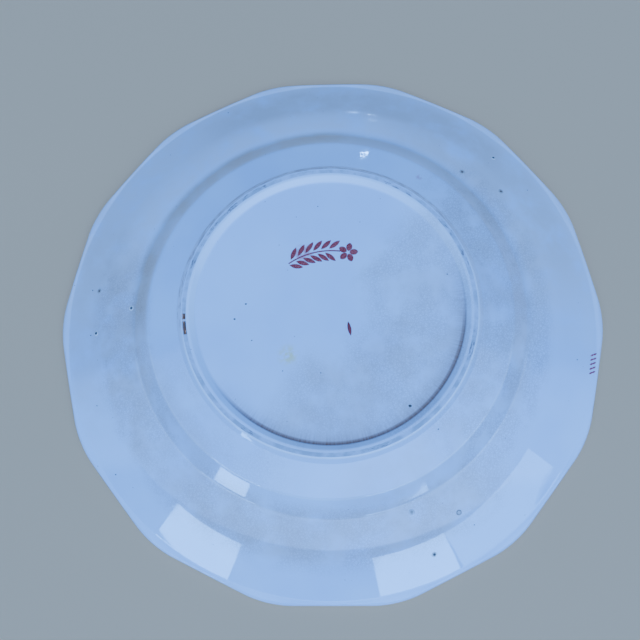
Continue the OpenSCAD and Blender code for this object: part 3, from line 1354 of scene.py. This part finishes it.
@dataclass
class Coats:
    """The four coats of glaze: on the back, over the lip's edge, inside the foot ring, and on the face."""

    section: Section
    outline: Outline
    ring_count: int = 288
    lip_steps: int = 16

    def build(self) -> list[bpy.types.Object]:
        """Throws the coats.

        Returns:
            The pieces.
        """
        back_glaze = Glaze(Side.BACK).material()
        face_glaze = Glaze(Side.FACE).material()
        pieces = [self._back(), self._lip(), self._base()]
        for piece in pieces:
            dress(piece, back_glaze)
        face = self._face()
        dress(face, face_glaze)
        return [*pieces, face]

    def _back(self) -> bpy.types.Object:
        """Throws the coat over the rim, the wall and the shoulder.

        Returns:
            The piece.
        """
        section = self.section
        top = section.back()
        low = sunk(top, -section.coat)
        wheel = Wheel("back_coat").start_sided(self.outline, section.seam, section.lip_height)
        edge = wheel.radius
        wheel.make_round(top[0])
        wheel.draw_along(top)
        wheel.draw_along(list(reversed(low)))
        wheel.take(edge, section.lip_height)
        wheel.draw_to(Vector((edge, low[0].y)))
        wheel.make_round(low[0])
        return wheel.lift_off(GLAZE_SLOT, "back_glaze")

    def _lip(self) -> bpy.types.Object:
        """Throws the coat rolled over the edge, with a short flat at its upper seam.

        Returns:
            The piece.
        """
        section = self.section
        across, height = section.half_across, section.lip_height
        wheel = Wheel("lip_coat").start_sided(self.outline, section.seam, height)
        edge = wheel.radius
        for i in range(self.lip_steps + 1):
            turn = math.pi * (0.5 - i / self.lip_steps)
            inset = section.lip_roll * (1 - math.cos(turn))
            wheel.draw_to(Vector((across - inset, height * (1 + math.sin(turn)) / 2)))
        wheel.draw_to(Vector((across - section.lip_roll, height - section.coat)))
        wheel.draw_to(Vector((edge, height - section.coat)))
        wheel.draw_to(Vector((edge, height)))
        return wheel.lift_off(GLAZE_SLOT, "lip_glaze")

    def _base(self) -> bpy.types.Object:
        """Throws the coat inside the foot ring.

        Returns:
            The piece.
        """
        top = list(reversed(self.section.base()))
        low = sunk(top, self.section.coat)
        return self._round_coat("base_coat", top, low, "base_glaze")

    def _face(self) -> bpy.types.Object:
        """Throws the coat over the eating face.

        Returns:
            The piece.
        """
        line = self.section.face()
        inner = sunk(line, -self.section.coat)
        return self._round_coat("face_coat", line, inner, "face_glaze")

    def _round_coat(self, name: str, line: list[Vector], inner: list[Vector], node: str) -> bpy.types.Object:
        """Throws a coat that is round and closed at the middle.

        Args:
            name: The piece's name.
            line: Its outer line, from the middle outwards.
            inner: The line where it meets the clay.
            node: The CAD node that it stands for.

        Returns:
            The piece.
        """
        wheel = Wheel(name).start_round(line[0], self.ring_count)
        wheel.cap()
        wheel.draw_along(line[1:])
        wheel.draw_along(list(reversed(inner)))
        wheel.cap()
        return wheel.lift_off(GLAZE_SLOT, node)


@dataclass
class SpurGroup:
    """Three scars left where the plate stood on a kiln spur."""

    name: str
    node: str
    azimuth: float
    turn: float
    finish: Scar
    section: Section
    ring: float = 106.95
    spread: float = 12.3
    size: float = 1.3
    broken_share: float = 0.55
    root: float = -0.12
    sides: int = 24

    # The scar's section: share of its radius, and height in millimetres
    RIDGE = ((0.98, 0.02), (0.86, 0.12), (0.70, 0.20), (0.52, 0.16), (0.40, 0.08), (0.22, 0.05), (0.08, 0.07))

    def middles(self) -> list[Vector]:
        """The three middles, in millimetres."""
        centre = self._polar(self.ring, self.azimuth)
        return [centre + self._polar(self.spread, self.turn + 120 * i) for i in range(3)]

    @staticmethod
    def _polar(radius: float, azimuth: float) -> Vector:
        """A point given by its distance and direction from the axis."""
        turn = math.radians(azimuth)
        return Vector((radius * math.cos(turn), radius * math.sin(turn), 0))

    def build(self) -> bpy.types.Object:
        """Makes one scar, copies it, lays the three in place and joins them.

        Returns:
            The piece.
        """
        wheel = Wheel(self.name).start_round(Vector((self.size, self.root)), self.sides)
        wheel.close_along([Vector((self.size * share, height)) for share, height in self.RIDGE])
        pattern = wheel.place_small(Vector((0, 0, 0)))
        middles = self.middles()
        scars = twins(pattern, len(middles))
        for scar, at in zip(scars, middles):
            self._lay(scar, at)
        together = joined(scars, self.name)
        dress(together, self.finish.material(middles, self.size * self.broken_share))
        return settle(together, STAIN_SLOT, self.node)

    def _lay(self, scar: bpy.types.Object, at: Vector) -> None:
        """Moves a scar to its place and tilts it to lie on the rim's slope.

        Args:
            scar: The scar, still at the middle.
            at: Its place, in millimetres.
        """
        bpy.ops.object.select_all(action="DESELECT")
        scar.select_set(True)
        bpy.context.view_layer.objects.active = scar
        bpy.ops.object.mode_set(mode="EDIT")
        bpy.ops.mesh.select_all(action="SELECT")
        azimuth = math.atan2(at.y, at.x)
        height, fall = self.section.rest_on_back(at.xy.length)
        bpy.ops.transform.rotate(value=-fall, orient_axis="Y", center_override=(0, 0, 0))
        bpy.ops.transform.rotate(value=-azimuth, orient_axis="Z", center_override=(0, 0, 0))
        bpy.ops.transform.translate(value=Vector((at.x, at.y, height)) * MM)
        bpy.ops.object.mode_set(mode="OBJECT")


@dataclass
class IronSpecks:
    """Specks of iron on the back, each a small crusted blister."""

    section: Section
    root: float = -0.25
    sides: int = 10
    oval: float = 0.82

    # A blister's section, as shares of its radius: across, and height
    BLISTER = ((1.0, 0.0), (0.7, 0.18), (0.3, 0.22))
    # Across, along and radius in millimetres
    PLACES = (
        (-53, 114, 0.35), (-82, 89, 0.25), (-117, 16, 0.4), (-38, 2, 0.5), (-43, -5, 0.5), (-5, 49, 0.3),
        (54, 15, 0.35), (-116, -7, 0.4), (-35, -15, 0.35), (-101, -73, 0.4), (-21, -29, 0.3), (-4, -30, 0.3),
        (-111, -41, 0.35), (35, -45, 0.75), (64, -96, 0.35), (117, -21, 0.35), (100, 66, 0.3), (47, -55, 0.4),
    )

    def build(self) -> bpy.types.Object:
        """Makes the specks and joins them.

        Returns:
            The piece.
        """
        specks = joined([self._speck(*place) for place in self.PLACES], "iron_specks")
        dress(specks, Iron().material())
        return settle(specks, STAIN_SLOT)

    def _speck(self, x: float, y: float, size: float) -> bpy.types.Object:
        """Makes one speck, seated on the back.

        Args:
            x: Its place across, in millimetres.
            y: Its place along.
            size: Its radius.

        Returns:
            The speck.
        """
        away = math.hypot(x, y)
        inside = away < self.section.recess.r
        height = self.section.recess.z if inside else self.section.rest_on_back(away)[0]
        wheel = Wheel("iron_speck").start_round(Vector((size, self.root)), self.sides)
        wheel.close_along([Vector((size * share, size * rise)) for share, rise in self.BLISTER])
        bpy.ops.transform.resize(value=(1.0, self.oval, 1.0), center_override=(0, 0, 0))
        return wheel.place_small(Vector((x, y, height)))


@dataclass
class Prints:
    """The crimson prints and brush strokes, which keep their CAD shapes."""

    def build(self) -> None:
        """Dresses the printed nodes."""
        mark = Ink("mark_ink")
        pattern = Ink("pattern_ink", deep=(0.42, 0.03, 0.04), thin=(0.80, 0.22, 0.20), grain=0.35, fade=0.8)
        stroke = Ink("brush_ink", deep=(0.22, 0.008, 0.01), thin=(0.50, 0.05, 0.05), grain=0.6, fade=0.4)
        lapped = Ink("lapped_ink", deep=(0.50, 0.02, 0.05), thin=(0.85, 0.22, 0.22), grain=0.5, fade=0.5)
        chosen = {
            "sprig_print": mark,
            "tick_print": stroke,
            "edge_print": lapped,
            "border_print": pattern,
            "centre_print": pattern,
        }
        mixed = {ink: ink.material() for ink in dict.fromkeys(chosen.values())}
        for node, ink in chosen.items():
            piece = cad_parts[node]
            dress(piece, mixed[ink])
            log.info("%s: kept, with %s", node, ink.name)


# --- The studio ---


def skyward(azimuth: float, elevation: float) -> Vector:
    """Points to a place in the sky.

    Args:
        azimuth: Its direction round the plate, in degrees.
        elevation: Its height above the floor, in degrees.

    Returns:
        The direction, as a vector of length 1.
    """
    turn, rise = math.radians(azimuth), math.radians(elevation)
    level = math.cos(rise)
    return Vector((level * math.cos(turn), level * math.sin(turn), math.sin(rise)))


@dataclass(frozen=True)
class Softbox:
    """A soft light that faces the plate, placed by direction. Angles are in degrees."""

    name: str
    azimuth: float
    elevation: float
    width: float
    height: float
    brightness: float
    distance: float = 2.0
    colour: Colour = (0.13, 0.40, 1.0)

    def hang(self) -> None:
        """Adds the light."""
        data = bpy.data.lights.new(self.name, "AREA")
        data.shape = "RECTANGLE"
        data.size = 2 * self.distance * math.tan(math.radians(self.width / 2))
        data.size_y = 2 * self.distance * math.tan(math.radians(self.height / 2))
        data.energy = self.brightness * math.pi * data.size * data.size_y
        data.color = self.colour
        light = bpy.data.objects.new(self.name, data)
        way = skyward(self.azimuth, self.elevation)
        light.location = way * self.distance
        light.rotation_euler = (-way).to_track_quat("-Z", "Y").to_euler()
        bpy.context.scene.collection.objects.link(light)


@dataclass(frozen=True)
class Sky:
    """Soft light from all round: bright above a slanting skyline, brightest near one direction."""

    colour: Colour = (0.15, 0.385, 1.0)
    # What is seen of it behind the plate is a plain pale wall
    wall: Colour = (0.32, 0.37, 0.43)
    above: float = 2.9
    below: float = 1.0
    glow: float = 3.6
    glow_width: float = 7.0
    glow_from: tuple[float, float] = (297.0, 54.0)
    # Three places of the skyline; these and the glow's are azimuth and elevation in degrees
    skyline: tuple[tuple[float, float], ...] = ((204.0, 23.0), (252.0, 40.0), (330.0, 25.0))
    soft: float = 0.02
    # Where the near side's sky ends and begins, as the Y part of a direction
    near_side: tuple[float, float] = (0.06, -0.02)
    # Where the light starts to fade towards the far side, over what span, and what is left of it there
    fade_from: float = -0.6
    fade_over: float = 1.5
    far_share: float = 0.45
    # The elevation, in degrees, from which it is bright on every side
    overhead: float = 52.0

    def build(self) -> None:
        """Makes the world."""
        world = bpy.data.worlds.new("sky")
        world.use_nodes = True
        graph = Graph(world.node_tree)
        way = graph.node("ShaderNodeTexCoord", {}, {}, "Generated")
        first, second, third = (skyward(*place) for place in self.skyline)
        up = (second - first).cross(third - first).normalized()
        edge = up.dot(first)
        high = graph.vector("DOT_PRODUCT", way, tuple(up)).rise(edge - self.soft, edge + self.soft)
        _, depth, rise = graph.parts(way)
        overhead = math.sin(math.radians(self.overhead))
        over_plate = rise.rise(overhead - self.soft, overhead + self.soft)
        high = (high * depth.rise(*self.near_side)).most(over_plate)
        beyond = (depth - self.fade_from).most(0.0).least(self.fade_over)
        fading = 1 - beyond * ((1 - self.far_share) / self.fade_over)
        toward_glow = graph.vector("DOT_PRODUCT", way, tuple(skyward(*self.glow_from))).most(0.0)
        glow = toward_glow ** self.glow_width * self.glow
        strength = fading * (self.below + high * (self.above - self.below)) + high * glow
        light = graph.node("ShaderNodeBackground", {}, {"Color": (*self.colour, 1.0), "Strength": strength})
        wall = graph.node("ShaderNodeBackground", {}, {"Color": (*self.wall, 1.0), "Strength": 1.0})
        seen = graph.node("ShaderNodeLightPath", {}, {}, "Is Camera Ray")
        shown = graph.node("ShaderNodeMixShader", {}, {0: seen, 1: light, 2: wall})
        output = graph.tree.nodes.new("ShaderNodeOutputWorld")
        graph.tree.links.new(shown.socket, output.inputs["Surface"])
        bpy.context.scene.world = world


@dataclass
class Studio:
    """A plain pale floor, soft light and the camera."""

    floor_colour: Colour = (0.84, 0.41, 0.195)
    # Metres
    floor_size: float = 6.0
    eye: tuple[float, float, float] = (0.003864, -0.081234, 0.344079)
    # Degrees about X, Y and Z
    aim: tuple[float, float, float] = (13.573, 1.555, -0.278)
    # Millimetres
    lens: float = 39.96
    sensor: float = 36.0
    sky: Sky = Sky()
    boxes: tuple[Softbox, ...] = (
        Softbox("left_window", 232, 26.0, 19, 5, 14.0),
        Softbox("right_window", 292, 27.5, 19, 5, 13.0),
        Softbox("right_sill", 320, 26.0, 30, 7, 6.0),
        Softbox("left_low_window", 233, 7.0, 12, 3, 16.0),
        Softbox("right_low_window", 298, 7.0, 12, 2, 10.0),
        Softbox("far_lamp_low", 85.4, 11.2, 2.0, 0.05, 320.0),
        Softbox("far_lamp_mid", 81.1, 11.8, 2.0, 0.05, 320.0),
        Softbox("far_lamp_high", 80.9, 19.3, 2.0, 0.05, 260.0),
    )

    def build(self) -> None:
        """Sets the scene around the plate."""
        self._floor()
        self.sky.build()
        for box in self.boxes:
            box.hang()
        self._camera()

    def _floor(self) -> None:
        """A level floor that the lip rests on."""
        bpy.ops.object.select_all(action="DESELECT")
        bpy.ops.mesh.primitive_plane_add(size=self.floor_size, location=(0, 0, 0))
        floor = bpy.context.object
        floor.name = "floor"
        mix = Recipe("floor_paint")
        tone = mix.noise(220, 2, seed=4)
        colour = mix.mix(tone, self.floor_colour, tuple(part * 1.06 for part in self.floor_colour))
        mix.surface(colour, 0.75, None)
        dress(floor, mix.material)

    def _camera(self) -> None:
        """The camera, looking steeply down from the near side."""
        data = bpy.data.cameras.new("camera")
        data.lens = self.lens
        data.sensor_width = self.sensor
        camera = bpy.data.objects.new("camera", data)
        camera.location = self.eye
        camera.rotation_euler = [math.radians(turn) for turn in self.aim]
        bpy.context.scene.collection.objects.link(camera)
        bpy.context.scene.camera = camera


def main() -> None:
    """Builds the plate and the studio around it."""
    logging.basicConfig(level=logging.INFO, format="%(message)s")
    section = Section()
    outline = Outline(section.half_across)
    ClayBody(section, outline).build()
    Coats(section, outline).build()
    black = Tone((0.07, 0.035, 0.025), (0.80, 0.76, 0.70))
    brown = Tone((0.24, 0.12, 0.07), (0.52, 0.46, 0.42))
    ring = Tone((0.58, 0.60, 0.64), (0.34, 0.28, 0.25))
    soft = Tone((0.40, 0.33, 0.29), (0.55, 0.58, 0.62))
    for name, azimuth, turn, finish in (
        ("near", 295.5, 29, Scar("near_scars", (ring, soft, black))),
        ("far", 42.9, 63, Scar("far_scars", (black, brown, brown))),
        ("left", 177.7, 0, Scar("left_scars", (black, brown, black))),
    ):
        SpurGroup(f"spur_scars_{name}", f"spur_marks_{name}", azimuth, turn, finish, section).build()
    IronSpecks(section).build()
    Prints().build()
    Studio().build()


if __name__ == "__main__":
    main()
